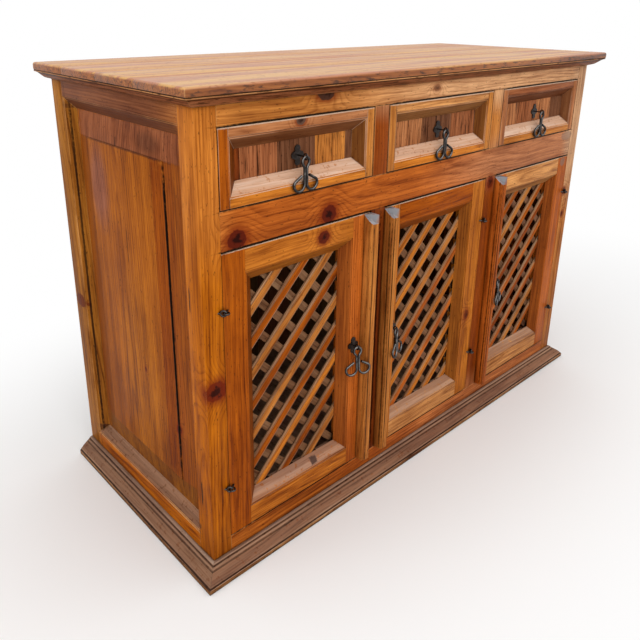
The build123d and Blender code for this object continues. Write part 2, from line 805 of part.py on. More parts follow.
for bay, bay_left in enumerate(bay_lefts):
    door = f"door_{bay + 1}"
    hinge_left = hinge_sides[bay] == "left"
    left = bay_left + (door_hinge_gap if hinge_left else door_free_gap)
    right = left + door_width
    flat_left = left + door_stile_flat
    flat_right = right - door_stile_flat
    flat_low = door_low + door_bottom_flat
    flat_high = door_high - door_top_flat
    lattice_width = flat_right - flat_left - 2 * bevel_width + 2 * lattice_lap
    lattice_height = flat_high - flat_low - 2 * bevel_width + 2 * lattice_lap
    lattice_centre = ((flat_left + flat_right) / 2, (flat_low + flat_high) / 2)
    free_edge = bay_left + opening_width if hinge_left else bay_left
    inward = -1 if hinge_left else 1
    pull_x = free_edge + inward * pull_inset_on_door
    pull = (pull_x, pull_height_on_door, 0, pull_reach_on_door)

    with BuildPart() as frame:
        with BuildSketch(front_face):
            draw(stile_outline(left, flat_left, door_low, door_high, flat_low, flat_high))
            draw(stile_outline(right, flat_right, door_low, door_high, flat_low, flat_high))
            draw(rail_outline(flat_left, flat_right, door_low, flat_low))
            draw(rail_outline(flat_left, flat_right, door_high, flat_high))
        extrude(amount=-door_thickness)
        add(bevel_recess(front_face, flat_left, flat_right, flat_low, flat_high), mode=Mode.SUBTRACT)
        with BuildSketch(front_face.offset(-bevel_depth)):
            with Locations(lattice_centre):
                Rectangle(lattice_width + 2 * hairline, lattice_height + 2 * hairline)
        extrude(amount=-door_thickness, mode=Mode.SUBTRACT)
        add(leg_holes(eye_planes(bay, "door")), mode=Mode.SUBTRACT)
        add(staple_hole(*pull), mode=Mode.SUBTRACT)
    save(frame.part, f"{door}_frame")

    lattice_plane = Plane(
        origin=(left_x + lattice_centre[0], front_y + lattice_depth, lattice_centre[1]),
        x_dir=(1, 0, 0),
        z_dir=(0, -1, 0),
    )
    rising = slat_places(lattice_width, lattice_height, front_slat_pitch, front_slat_shares[bay])
    falling = slat_places(lattice_width, lattice_height, back_slat_pitch, back_slat_shares[bay])
    lip_plane = lattice_plane.offset(-slat_centre_rise)
    back_plane = lip_plane.offset(-slat_lip_thickness - hairline)
    with BuildPart() as lattice:
        extrude(
            lattice_layer(lip_plane, lattice_width, lattice_height, rising, slat_width, False),
            amount=-slat_lip_thickness,
        )
        extrude(
            lattice_layer(lip_plane, lattice_width, lattice_height, rising, slat_centre_width, False),
            amount=slat_centre_rise,
        )
        extrude(
            lattice_layer(back_plane, lattice_width, lattice_height, falling, back_slat_width, True),
            amount=-slat_back_thickness,
        )
    save(lattice.part, f"{door}_lattice")

    strip_outer = free_edge + inward * strip_edge_gap
    strip_left = min(strip_outer, strip_outer + inward * strip_width)
    strip_right = strip_left + strip_width
    strip_plane = Plane(origin=(left_x, front_y, door_low + strip_foot_gap))
    first, bead_start, bead_end, last = strip_outline(strip_left, strip_right)
    with BuildPart() as strip:
        with BuildSketch(strip_plane):
            with BuildLine():
                Polyline(*first, bead_start)
                RadiusArc(bead_start, bead_end, strip_bead_radius)
                Polyline(bead_end, *last)
                Polyline(
                    last[-1],
                    (last[-1][0] + strip_quirk, last[-1][1]),
                    (last[-1][0] + strip_quirk, -strip_proud),
                    (strip_right, -strip_proud),
                    (strip_right, -hairline),
                    (strip_left, -hairline),
                )
            make_face()
        extrude(amount=door_high - door_low - strip_foot_gap - strip_head_gap)
        add(strip_cut(strip_left, strip_right, door_high - strip_head_gap), mode=Mode.SUBTRACT)
    save(strip.part, f"{door}_cover_strip")

    save(hinge_eyes(eye_planes(bay, "door"), False), f"{door}_hinge_eyes")
    save(pull_plate(*pull), f"{door}_pull_plate")
    drop_turn = -inward * drop_turn_on_door
    drop = pull_drop(pull_x, pull_height_on_door, pull_reach_on_door, drop_turn, drop_tilt_on_door)
    save(drop, f"{door}_pull_drop")
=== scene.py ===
"""Looks of a pine sideboard with three drawers, three lattice doors and iron pulls.

Every wooden piece is a copy of its solid with eased edges, and each of its boards carries its own
grain and its own stain, so that one pine material serves them all. Lengths are in metres.
"""
import json
import random
from math import radians

import bpy
import numpy as np
from mathutils import Matrix, Vector


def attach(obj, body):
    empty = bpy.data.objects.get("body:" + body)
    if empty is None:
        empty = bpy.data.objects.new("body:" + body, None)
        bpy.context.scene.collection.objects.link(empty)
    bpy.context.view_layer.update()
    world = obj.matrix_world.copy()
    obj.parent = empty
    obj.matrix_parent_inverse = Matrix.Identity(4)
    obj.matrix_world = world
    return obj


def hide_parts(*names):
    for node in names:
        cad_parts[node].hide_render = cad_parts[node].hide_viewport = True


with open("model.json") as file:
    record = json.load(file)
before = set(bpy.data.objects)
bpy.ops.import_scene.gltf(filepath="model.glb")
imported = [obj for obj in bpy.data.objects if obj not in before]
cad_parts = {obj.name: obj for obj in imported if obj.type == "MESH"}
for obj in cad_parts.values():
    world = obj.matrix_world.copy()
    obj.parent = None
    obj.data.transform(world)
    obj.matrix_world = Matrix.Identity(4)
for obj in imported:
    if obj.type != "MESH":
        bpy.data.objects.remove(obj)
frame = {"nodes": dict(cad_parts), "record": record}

bl_info = {
    "name": "Pine sideboard looks",
    "version": (1, 0, 0),
    "blender": (4, 5, 0),
    "location": "View3D > Sidebar > Sideboard",
    "description": "Dresses a pine sideboard in stained wood and forged iron, on a pale stage",
    "category": "Object",
}

# Stains of the boards: a name, its sRGB colour and what it is
STAINS = {
    "toast": ("#8c4e20", "waxed pine of the top, seen on its edges"),
    "sand": ("#bf8048", "pale tan pine"),
    "blush": ("#ad682c", "pale orange pine"),
    "honey": ("#b4661f", "light honey-stained pine"),
    "amber": ("#a85808", "amber-stained pine"),
    "orange": ("#a8541a", "orange pine with curly grain"),
    "sienna": ("#8f5230", "brown rough-sawn pine"),
    "copper": ("#984808", "deep orange pine of the door stiles"),
    "bronze": ("#985010", "golden brown pine of the side panels"),
    "russet": ("#80380a", "reddish pine"),
    "chestnut": ("#70300c", "dark reddish pine of the partitions"),
    "rosy": ("#a4653c", "faded pink-brown pine"),
    "umber": ("#6b4028", "grey-brown pine"),
    "cocoa": ("#784428", "dull brown pine of the mouldings"),
    "olive": ("#8d5418", "yellow-brown pine of the back edges"),
    "straw": ("#9a7748", "raw pine of the drawer boxes"),
    # Hay is darker than raw pine with age, and darker still with painted shade for the dim inside
    "hay": ("#634529", "raw pine inside, darkened with age and painted shade"),
    "dust": ("#957760", "dusty lips of the slats"),
}

# Boards of each node, in order along X, then Z, then Y, with the stain of each
BOARDS = {
    "top_boards": ("toast", "toast", "toast", "toast"),
    "cornice_front": ("cocoa",),
    "cornice_left": ("cocoa",),
    "cornice_right": ("cocoa",),
    "plinth_front": ("cocoa",),
    "plinth_left": ("umber",),
    "plinth_right": ("umber",),
    "post_front_left": ("amber",),
    "post_front_right": ("blush",),
    "post_back_left": ("olive",),
    "post_back_right": ("olive",),
    "side_rails_left": ("amber", "cocoa"),
    "side_rails_right": ("amber", "cocoa"),
    "side_panel_left": ("bronze",),
    "side_panel_right": ("bronze",),
    "top_rail": ("blush",),
    "middle_rail": ("orange",),
    "bottom_rail": ("orange",),
    "drawer_dividers": ("russet", "blush"),
    "door_partitions": ("chestnut", "russet"),
    "drawer_1_front": ("copper", "honey", "rosy", "blush"),
    "drawer_2_front": ("blush", "honey", "sand", "blush"),
    "drawer_3_front": ("rosy", "blush", "sienna", "rosy"),
    "drawer_1_panel": ("chestnut", "sienna", "umber", "blush", "umber"),
    "drawer_2_panel": ("rosy", "umber", "sienna"),
    "drawer_3_panel": ("rosy", "sienna", "rosy", "umber"),
    "door_1_frame": ("copper", "honey", "honey", "orange"),
    "door_2_frame": ("honey", "sand", "copper", "honey"),
    "door_3_frame": ("orange", "sand", "sand", "orange"),
    "door_1_cover_strip": ("blush",),
    "door_2_cover_strip": ("blush",),
    "door_3_cover_strip": ("orange",),
    "door_1_lattice": ("honey", "blush", "honey", "copper"),
    "door_2_lattice": ("blush", "honey", "orange", "honey"),
    "door_3_lattice": ("orange", "copper", "russet", "blush"),
    "back_rails": ("hay",),
    "back_boards": ("hay", "umber", "hay"),
    "floor_boards": ("hay", "hay", "umber"),
    "drawer_runners": ("hay",),
    "drawer_kickers": ("hay",),
    "stop_blocks": ("hay",),
    "drawer_1_box": ("straw",),
    "drawer_2_box": ("straw",),
    "drawer_3_box": ("straw",),
}
UPRIGHT_GRAIN = ("drawer_1_panel", "drawer_2_panel", "drawer_3_panel", "stop_blocks")


def linear(code):
    """An sRGB hex colour as linear red, green and blue."""
    parts = [int(code[start:start + 2], 16) / 255 for start in (1, 3, 5)]
    return [part / 12.92 if part <= 0.04045 else ((part + 0.055) / 1.055) ** 2.4 for part in parts]


class SideboardSizes(bpy.types.PropertyGroup):
    """Sizes of the finish."""

    edge_ease: bpy.props.FloatProperty(
        name="Eased edges", description="Width of the worn round on a board's edges",
        default=0.0012, min=0.0002, max=0.004, unit="LENGTH",
    )
    inner_ease: bpy.props.FloatProperty(
        name="Eased inner edges", description="Width of the round on the pieces inside",
        default=0.0007, min=0.0002, max=0.004, unit="LENGTH",
    )
    ring_width: bpy.props.FloatProperty(
        name="Growth rings", description="Distance between growth rings, coarse enough to show",
        default=0.0062, min=0.001, max=0.02, unit="LENGTH",
    )
    fine_streak: bpy.props.FloatProperty(
        name="Fine streaks", description="Width of the fine streaks, coarse enough to show",
        default=0.0032, min=0.0005, max=0.02, unit="LENGTH",
    )
    broad_streak: bpy.props.FloatProperty(
        name="Broad streaks", description="Width of the broad streaks of stain",
        default=0.017, min=0.002, max=0.1, unit="LENGTH",
    )
    hammer_mark: bpy.props.FloatProperty(
        name="Hammer marks", description="Size of the marks that the forging left on the iron",
        default=0.009, min=0.0005, max=0.02, unit="LENGTH",
    )


class SideboardStains(bpy.types.PropertyGroup):
    """Colours of the boards."""

    __annotations__ = {
        key: bpy.props.FloatVectorProperty(
            name=key.capitalize(), description=words, default=linear(code),
            subtype="COLOR", size=3, min=0, max=1,
        )
        for key, (code, words) in STAINS.items()
    }


def add_node(tree, kind, inputs=None, stops=None, **settings):
    """A node with its settings, its colour stops, and its inputs linked or set by name or number."""
    made = tree.nodes.new(kind)
    for key, value in settings.items():
        setattr(made, key, value)
    for key, value in (inputs or {}).items():
        if isinstance(value, bpy.types.NodeSocket):
            tree.links.new(value, made.inputs[key])
        else:
            made.inputs[key].default_value = value
    if stops:
        ramp = made.color_ramp
        while len(ramp.elements) < len(stops):
            ramp.elements.new(1.0)
        for element, (place, code) in zip(ramp.elements, stops):
            element.position = place
            element.color = [*linear(code), 1]
    return made


def new_material(name):
    """An empty material, its tree and its shader."""
    made = bpy.data.materials.new(name)
    made.use_nodes = True
    tree = made.node_tree
    tree.nodes.clear()
    shader = add_node(tree, "ShaderNodeBsdfPrincipled")
    add_node(tree, "ShaderNodeOutputMaterial", {"Surface": shader.outputs["BSDF"]})
    return made, tree, shader


# Where marks go: the plane of the front, the left side, and how far right of that the middle of each
# bay and the left edge of each door's cover strip are; a half size of WIDE reaches over everything
FRONT = -0.2438
LEFT = -0.635
BAYS = (0.2253, 0.6350, 1.0447)
STRIPS = (0.3881, 0.4522, 0.8619)
WIDE = 2.0

# The gaps over and under the drawers and doors, darkened with painted shade: height, half thickness
# and strength
GAPS = ((0.8638, 0.0012, 0.9), (0.7248, 0.0011, 0.8), (0.6558, 0.0011, 0.9), (0.0684, 0.0010, 0.9))

# Colours that several marks share
KNOT = "#5a1a08"
HEART = "#1e0603"
HALO = "#7a2a08"
CRACK_AND_SHADE = "#100602"
GREY = "#7d6a5e"
SAWN = "#8b8e93"
LIT_EDGE = "#d9bda4"

# How each kind of mark ends: how ragged its outline is, and where it is gone and where it is full,
# in half sizes from its centre; halos and hearts belong to knots
EDGES = {
    "fade": (0.0, 1.5, 0.5),
    "band": (0.25, 1.16, 1.06),
    "spot": (0.4, 1.24, 1.06),
    "knot": (0.4, 1.24, 1.06),
    "halo": (0.4, 2.1, 1.1),
    "heart": (1.5, 1.35, 0.95),
    "line": (1.0, 1.75, 1.25),
    "cut": (0.3, 1.4, 1.2),
}
BOX_MARKS = ("band", "line", "cut")
# The strength of a knot's halo and heart next to its own, and how far it bends the rings: up to so
# many half sizes away, and by so many rings at its centre
HALO_SHARE, HEART_SHARE = 0.8, 0.9
BEND_REACH, BEND = 3.4, 3.6

# Marks on the wood, painted shade, shadows, sheen and highlights among them: kind, place and half
# sizes in metres, colour and strength. Fades and bands tint the stain. Knots and spots lie over it,
# and a knot has a heart, a halo and rings that bend round it. Lines and cuts lie over all else:
# lines are cracks, painted shade in gaps and quirks, and painted highlights on upper edges, and a
# cut shows only on faces that look diagonally to the left and the front.
CASE_MARKS = [
    # Worn and paler stretches of the front, a darker stretch on the first partition, and the bevels of
    # the left side's frame, the top one with painted shade from the overhang
    ("fade", (LEFT + 0.020, FRONT, 0.800), (0.05, 0.10, 0.150), "#bc7030", 0.5),
    ("fade", (LEFT + 0.950, FRONT, 0.885), (0.50, 0.05, 0.060), "#d09c70", 0.7),
    ("fade", (LEFT + 1.000, FRONT, 0.690), (0.32, 0.05, 0.060), "#a66c48", 0.7),
    ("fade", (LEFT + 1.250, FRONT, 0.740), (0.05, 0.05, 0.200), "#b68c6a", 0.7),
    ("band", (LEFT, FRONT + 0.0585, 0.470), (0.03, 0.0100, 0.390), "#c8702c", 0.9),
    # Painted shade on the top bevel of the left side's frame, under the overhang
    ("band", (LEFT, FRONT + 0.2605, 0.8555), (0.03, 0.2115, 0.0115), "#4c2412", 0.75),
    ("band", (LEFT, FRONT + 0.260, 0.083), (0.03, 0.2200, 0.012), "#54301c", 0.85),
    ("fade", (LEFT + 0.440, FRONT, 0.360), (0.025, 0.03, 0.20), "#5e2408", 0.7),
    ("fade", (LEFT + 0.150, FRONT, 0.045), (0.22, 0.05, 0.060), "#8c4a14", 0.6),
    ("fade", (LEFT + 0.900, FRONT, 0.045), (0.35, 0.05, 0.060), "#a8663c", 0.6),
    # Knots and stains of the front and the left side, then of the right side
    ("knot", (LEFT + 0.021, FRONT, 0.400), (0.024, 0.02, 0.020), "#6a2008", 0.95),
    ("knot", (LEFT + 0.075, FRONT, 0.671), (0.021, 0.02, 0.018), KNOT, 1.0),
    ("knot", (LEFT + 0.290, FRONT, 0.672), (0.020, 0.02, 0.018), KNOT, 1.0),
    ("knot", (LEFT + 0.278, FRONT, 0.897), (0.022, 0.02, 0.012), "#3c2820", 0.9),
    ("knot", (LEFT + 0.600, FRONT, 0.884), (0.012, 0.02, 0.007), "#6a3c26", 0.6),
    ("knot", (LEFT + 0.840, FRONT, 0.640), (0.013, 0.02, 0.016), KNOT, 0.8),
    ("spot", (LEFT + 1.205, FRONT, 0.712), (0.030, 0.02, 0.013), GREY, 0.5),
    ("knot", (LEFT + 1.235, FRONT, 0.548), (0.010, 0.02, 0.012), KNOT, 0.7),
    ("knot", (LEFT + 1.242, FRONT, 0.478), (0.008, 0.02, 0.010), KNOT, 0.7),
    ("spot", (LEFT + 0.012, FRONT + 0.495, 0.410), (0.02, 0.030, 0.022), "#5c1d08", 0.85),
    ("knot", (-LEFT, FRONT + 0.060, 0.330), (0.02, 0.014, 0.020), KNOT, 0.8),
    ("knot", (-LEFT, FRONT + 0.490, 0.620), (0.02, 0.012, 0.016), KNOT, 0.8),
    # Painted shade in the gaps round the drawers and doors, a painted shadow beside the first cover
    # strip, and cracks in the front post and behind the side panel
    *(
        ("line", (LEFT + at, FRONT, height), (0.171, 0.003, thick), CRACK_AND_SHADE, strength)
        for height, thick, strength in GAPS
        for at in BAYS
    ),
    # A painted shadow on the first partition, beside door 1's cover strip
    ("line", (LEFT + 0.4365, FRONT, 0.345), (0.0044, 0.002, 0.270), "#240602", 0.9),
    ("line", (LEFT, FRONT + 0.030, 0.175), (0.02, 0.0016, 0.026), CRACK_AND_SHADE, 0.95),
    ("line", (LEFT, FRONT + 0.038, 0.570), (0.02, 0.0015, 0.022), CRACK_AND_SHADE, 0.9),
    ("line", (LEFT + 0.012, FRONT + 0.4655, 0.470), (0.03, 0.0020, 0.39), CRACK_AND_SHADE, 0.8),
]
PANEL_MARKS = [
    # A painted pinkish sheen near the top at the back, a golden stretch, and the bevels round the
    # raised field
    ("fade", (LEFT, FRONT + 0.370, 0.700), (0.10, 0.035, 0.080), "#7e4a3c", 0.7),
    ("fade", (LEFT, FRONT + 0.250, 0.300), (0.10, 0.070, 0.220), "#a86010", 0.6),
    ("band", (0, FRONT + 0.1080, 0.468), (WIDE, 0.0115, 0.375), "#6c2a08", 0.75),
    ("band", (0, FRONT + 0.0940, 0.468), (WIDE, 0.0255, 0.375), "#84400c", 0.6),
    ("band", (0, FRONT + 0.1400, 0.468), (WIDE, 0.0205, 0.325), "#803804", 0.85),
    ("band", (0, FRONT + 0.427, 0.468), (WIDE, 0.025, 0.375), "#703404", 0.8),
    ("band", (0, FRONT + 0.260, 0.818), (WIDE, 0.190, 0.0255), "#84492c", 0.9),
    ("band", (0, FRONT + 0.260, 0.119), (WIDE, 0.190, 0.0255), "#70400f", 0.7),
    ("fade", (LEFT + 0.016, FRONT + 0.175, 0.815), (0.03, 0.036, 0.018), "#5a301c", 0.7),
    # Knots
    ("knot", (LEFT + 0.010, FRONT + 0.1195, 0.262), (0.03, 0.007, 0.012), KNOT, 0.9),
    ("knot", (LEFT + 0.010, FRONT + 0.235, 0.345), (0.03, 0.004, 0.006), KNOT, 0.7),
    ("knot", (-LEFT - 0.012, FRONT + 0.300, 0.300), (0.02, 0.013, 0.019), KNOT, 0.7),
    # The painted shadow along the front bevel, the painted shadow under the upper one, and small cracks
    ("line", (0, FRONT + 0.1195, 0.480), (WIDE, 0.0026, 0.305), CRACK_AND_SHADE, 1.0),
    ("line", (0, FRONT + 0.260, 0.7925), (WIDE, 0.150, 0.0020), "#3c1c14", 0.5),
    ("line", (LEFT + 0.010, FRONT + 0.270, 0.600), (0.03, 0.0018, 0.035), "#4c2408", 0.7),
    ("line", (LEFT + 0.016, FRONT + 0.290, 0.801), (0.03, 0.0022, 0.009), "#3c1c0c", 0.8),
]
DOOR_MARKS = [
    ("knot", (LEFT + 0.278, FRONT, 0.628), (0.015, 0.02, 0.013), KNOT, 0.95),
    ("spot", (LEFT + 1.203, FRONT, 0.638), (0.014, 0.02, 0.012), GREY, 0.6),
    ("knot", (LEFT + 0.790, FRONT, 0.300), (0.010, 0.02, 0.013), KNOT, 0.7),
    # Pale upper edges, and a knot on a bevel that lies over the dust
    *(("line", (LEFT + at, FRONT, 0.6518), (0.160, 0.003, 0.0010), LIT_EDGE, 0.8) for at in BAYS),
    ("line", (LEFT + 0.267, FRONT + 0.009, 0.123), (0.0085, 0.007, 0.0065), "#4a3630", 0.9),
]
STRIP_MARKS = [
    # Painted shade down the quirks and splits of each strip, and its grey sawn head
    *(
        ("line", (LEFT + left + across, FRONT - deep, 0.355), (0.0012, 0.0012, 0.265), CRACK_AND_SHADE, 0.75)
        for left in STRIPS
        for across, deep in ((0.0, 0.0150), (0.0014, 0.0205), (0.0080, 0.0220))
    ),
    *(
        ("cut", (LEFT + left + 0.010, FRONT - 0.011, 0.6435), (0.016, 0.015, 0.0085), SAWN, 0.95)
        for left in STRIPS
    ),
]
DRAWER_MARKS = [
    ("knot", (LEFT + 0.218, FRONT, 0.856), (0.011, 0.02, 0.008), "#5a4438", 0.9),
    # Pale upper edges
    *(("line", (LEFT + at, FRONT, 0.8600), (0.182, 0.003, 0.0010), LIT_EDGE, 0.7) for at in BAYS),
]
CORNICE_MARKS = [
    # Painted highlights on the rounds, painted shade in the hollow, and painted shade in the gap under
    # the top
    ("band", (0, 0, 0.9152), (WIDE, WIDE, 0.0010), "#b98250", 0.6),
    ("band", (0, 0, 0.9120), (WIDE, WIDE, 0.0012), "#32170b", 0.8),
    ("band", (0, 0, 0.8990), (WIDE, WIDE, 0.0012), "#a2683c", 0.6),
    ("line", (0, 0, 0.9172), (WIDE, WIDE, 0.0010), CRACK_AND_SHADE, 0.85),
]
PLINTH_MARKS = [
    # Worn rounds and foot, and the dark hollows between them
    ("band", (0, 0, 0.0346), (WIDE, WIDE, 0.0010), "#b39a88", 0.7),
    ("band", (0, 0, 0.0292), (WIDE, WIDE, 0.0008), "#b08a6c", 0.7),
    ("band", (0, 0, 0.0136), (WIDE, WIDE, 0.0010), "#ac8468", 0.6),
    ("band", (0, 0, 0.0040), (WIDE, WIDE, 0.0055), "#9a6c40", 0.75),
    ("line", (0, 0, 0.0318), (WIDE, WIDE, 0.0011), CRACK_AND_SHADE, 0.75),
    ("line", (0, 0, 0.0268), (WIDE, WIDE, 0.0009), CRACK_AND_SHADE, 0.6),
    ("line", (0, 0, 0.0112), (WIDE, WIDE, 0.0011), CRACK_AND_SHADE, 0.8),
]

# What gathers in the wood and the painted shade on it, and what shows on the iron besides its own
# colour, a painted highlight among it
SAW_DIRT = "#1c0c05"
PORE = "#2b1206"
DENT = "#351a0b"
BEVEL_SHADE = "#401d08"
SHADE_AND_GRIME = "#140702"
BARE_IRON_HIGHLIGHT = "#8b8784"
RUST = "#3d2114"

# The darkest and the lightest that the stain gets, as shares of its own colour
LIGHT_RANGE = (0.25, 1.7)
# How far from a corner the grime and the painted shade still show
CORNER_REACH = 0.011
# How much of the iron is covered where it rusts
RUST_SHARE = 0.55


class Wiring:
    """Short ways to add nodes to one tree."""

    def __init__(self, tree):
        self.tree = tree

    def maths(self, operation, *values):
        """Maths on numbers."""
        return add_node(self.tree, "ShaderNodeMath", dict(enumerate(values)), operation=operation).outputs[0]

    def vectors(self, operation, *values):
        """Maths on vectors, as its outputs: the vector first, and the Value."""
        made = add_node(self.tree, "ShaderNodeVectorMath", dict(enumerate(values)), operation=operation)
        return made.outputs

    def split(self, vector):
        """The X, Y and Z of a vector."""
        return add_node(self.tree, "ShaderNodeSeparateXYZ", {0: vector}).outputs

    def remap(self, value, low, high, to_low=0.0, to_high=1.0, smooth=False):
        """A value carried from one range to another and kept inside it."""
        return add_node(
            self.tree, "ShaderNodeMapRange",
            {"Value": value, "From Min": low, "From Max": high, "To Min": to_low, "To Max": to_high},
            interpolation_type="SMOOTHSTEP" if smooth else "LINEAR",
        ).outputs["Result"]

    def over(self, share, below, above):
        """A share of one colour over another, each of them a hex colour or a socket."""
        below, above = ((*linear(one), 1) if isinstance(one, str) else one for one in (below, above))
        return add_node(
            self.tree, "ShaderNodeMix", {"Factor": share, 6: below, 7: above}, data_type="RGBA"
        ).outputs[2]

    def noise(self, vector, scale, detail=2.0, rough=0.5):
        """Soft noise, as its outputs Fac and Color."""
        return add_node(
            self.tree, "ShaderNodeTexNoise",
            {"Vector": vector, "Scale": scale, "Detail": detail, "Roughness": rough},
        ).outputs


def draw_marks(wiring, marks, place, normal, ragged):
    """The tints, masks and last marks, each a list of shares and colours, and how far knots push the rings.
    """
    maths, vectors, remap = wiring.maths, wiring.vectors, wiring.remap

    def share(kind, far, strength):
        """How much of a mark shows at a distance in half sizes."""
        rough, gone, full = EDGES[kind]
        uneven = maths("MULTIPLY_ADD", ragged, rough, far)
        return remap(uneven, gone, full, 0.0, strength, kind != "cut")

    tints, masks, last_marks, push = [], [], [], 0.0
    for kind, centre, half, code, strength in marks:
        offset = vectors("SUBTRACT", place, centre)[0]
        shares = vectors("MULTIPLY", offset, [1 / size for size in half])[0]
        if kind in BOX_MARKS:
            parts = wiring.split(vectors("ABSOLUTE", shares)[0])
            far = maths("MAXIMUM", maths("MAXIMUM", parts["X"], parts["Y"]), parts["Z"])
        else:
            far = vectors("LENGTH", shares)["Value"]
        mask = share(kind, far, strength)
        if kind in ("fade", "band"):
            tints.append((mask, code))
        elif kind == "line":
            last_marks.append((mask, code))
        elif kind == "cut":
            diagonal = maths("MULTIPLY", remap(normal["X"], -0.5, -0.6), remap(normal["Y"], -0.5, -0.6))
            last_marks.append((maths("MULTIPLY", diagonal, mask), code))
        elif kind == "spot":
            masks.append((mask, code))
        else:
            masks.append((share("halo", far, HALO_SHARE * strength), HALO))
            masks.append((mask, code))
            masks.append((share("heart", far, HEART_SHARE * strength), HEART))
            push = maths("ADD", push, remap(far, BEND_REACH, 0.0, 0.0, BEND, True))
    return tints, masks, last_marks, push


def pine_material(
    name, marks=(), polish=0.42, shine=0.04, streak=1.0, sawn=0.0, dents=0.0, shade=0.0, wear=0.9,
    dust_and_sheen=(0.4, "#b58c70", "#c9a084"), pale_edge="#d79a5c",
):
    """Pine boards, oil-stained and varnished by hand.

    The eye gets long streaks of stain that gathered in the soft wood, darker and redder late rings,
    a satin sheen, paler worn edges, grime and painted shade in the corners, and dust with a painted
    sheen on what faces up. Polish is a roughness and shine a specular level. Streak, sawn, dents,
    shade and wear say how strong the streaks, saw marks, dents, painted shade on bevels and rubbed
    edges are. The dust and sheen have a strength, a dull colour and a pale one.
    """
    sizes = bpy.context.scene.sideboard_sizes
    made, tree, shader = new_material(name)
    wiring = Wiring(tree)
    maths, vectors, remap = wiring.maths, wiring.vectors, wiring.remap
    over, noise = wiring.over, wiring.noise
    grain = add_node(tree, "ShaderNodeAttribute", attribute_name="grain").outputs["Vector"]
    stain = add_node(tree, "ShaderNodeAttribute", attribute_name="stain").outputs["Color"]
    worn = add_node(tree, "ShaderNodeAttribute", attribute_name="worn").outputs["Fac"]
    coordinates = add_node(tree, "ShaderNodeTexCoord").outputs
    place = coordinates["Object"]
    normal = wiring.split(coordinates["Normal"])
    facing = normal["Z"]

    # The grain wanders a few millimetres to each side along a board
    wander = noise(vectors("MULTIPLY", grain, (3.0, 14.0, 14.0))[0], 1.0)["Color"]
    shift = vectors("MULTIPLY_ADD", wander, (0, 0.016, 0.016), (0, -0.008, -0.008))[0]
    bent = vectors("ADD", grain, shift)[0]

    # Uneven stain in patches about 140 mm across, and the ragged outline of marks and of the dust and
    # painted sheen, 9 mm
    patches = noise(place, 7.0, 4.0, 0.6)["Fac"]
    ragged = noise(place, 110.0)["Fac"]
    tints, masks, last_marks, push = draw_marks(wiring, marks, place, normal, ragged)

    # Growth rings round the heart of the log, each with a narrow dark late edge
    radius = vectors("LENGTH", vectors("MULTIPLY", bent, (0, 1, 1))[0])["Value"]
    turn = maths("FRACT", maths("MULTIPLY_ADD", radius, 1 / sizes.ring_width, push))
    late = add_node(
        tree, "ShaderNodeValToRGB", {"Fac": turn},
        stops=[(0.0, "#000000"), (0.5, "#1c1c1c"), (0.86, "#ffffff"), (1.0, "#000000")],
    ).outputs["Color"]

    # Fine and broad streaks along the grain
    fine_scale = (11.0, 1 / sizes.fine_streak, 1 / sizes.fine_streak)
    fine = noise(vectors("MULTIPLY", bent, fine_scale)[0], 1.0, 3.0, 0.65)["Fac"]
    broad_scale = (2.0, 1 / sizes.broad_streak, 1 / sizes.broad_streak)
    broad = noise(vectors("MULTIPLY", bent, broad_scale)[0], 1.0)["Fac"]

    # How light the stain is at each point: 1 on the average, paler towards the top
    light = maths("MULTIPLY_ADD", wiring.split(place)["Z"], 0.24, 0.91)
    light = maths("MULTIPLY_ADD", maths("SUBTRACT", broad, 0.5), 1.3 * streak, light)
    light = maths("MULTIPLY_ADD", maths("SUBTRACT", fine, 0.5), 1.7 * streak, light)
    light = maths("MULTIPLY_ADD", maths("SUBTRACT", patches, 0.5), 0.9, light)
    light = maths("MULTIPLY_ADD", maths("SUBTRACT", late, 0.25), -0.32 * streak, light)
    light = remap(light, *LIGHT_RANGE, *LIGHT_RANGE)

    # What is darker is redder too
    green, blue = maths("POWER", light, 1.3), maths("POWER", light, 1.5)
    warmth = add_node(tree, "ShaderNodeCombineXYZ", {0: light, 1: green, 2: blue}).outputs[0]
    for mask, code in tints:
        stain = over(mask, stain, code)
    colour = vectors("MULTIPLY", stain, warmth)[0]
    for mask, code in masks:
        colour = over(mask, colour, code)

    # Saw marks and small dark pores, drawn 2 mm across so that they show
    if sawn:
        colour = over(remap(fine, 0.46, 0.36, 0.0, sawn), colour, SAW_DIRT)
    pores = noise(vectors("MULTIPLY", bent, (120.0, 330.0, 330.0))[0], 1.0, 1.0)["Fac"]
    colour = over(remap(pores, 0.68, 0.74, 0.0, 0.6), colour, PORE)
    if dents:
        knocked = noise(vectors("MULTIPLY", bent, (45.0, 190.0, 190.0))[0], 1.0, 3.0, 0.6)["Fac"]
        knocked = maths("MULTIPLY", remap(knocked, 0.54, 0.64, 0.0, dents), remap(facing, 0.8, 0.3))
        colour = over(knocked, colour, DENT)

    # Painted shade on bevels that face down or sideways
    if shade:
        flat = maths("ABSOLUTE", normal["Y"])
        bevel = maths("MULTIPLY", remap(flat, 0.985, 0.93, 0.0, shade), remap(flat, 0.25, 0.4))
        colour = over(maths("MULTIPLY", bevel, remap(facing, 0.3, 0.1)), colour, BEVEL_SHADE)

    # Edges that hands have rubbed pale, most of all the upper ones
    touched = maths("MULTIPLY", remap(patches, 0.38, 0.62, 0.0, wear), remap(facing, -0.3, 0.6, 0.35, 1.0))
    colour = over(maths("MULTIPLY", worn, touched), colour, pale_edge)

    # A thin film of dust, and a painted sheen, on what faces up
    strength, dull, pale = dust_and_sheen
    upward = remap(facing, 0.15, 0.85, 0.0, strength, True)
    upward = maths("MULTIPLY", upward, remap(ragged, 0.32, 0.40, 0.4, 1.0))
    coated = over(remap(broad, 0.44, 0.56), dull, pale)
    colour = over(maths("MULTIPLY", upward, remap(fine, 0.30, 0.50, 0.55, 1.0)), colour, coated)

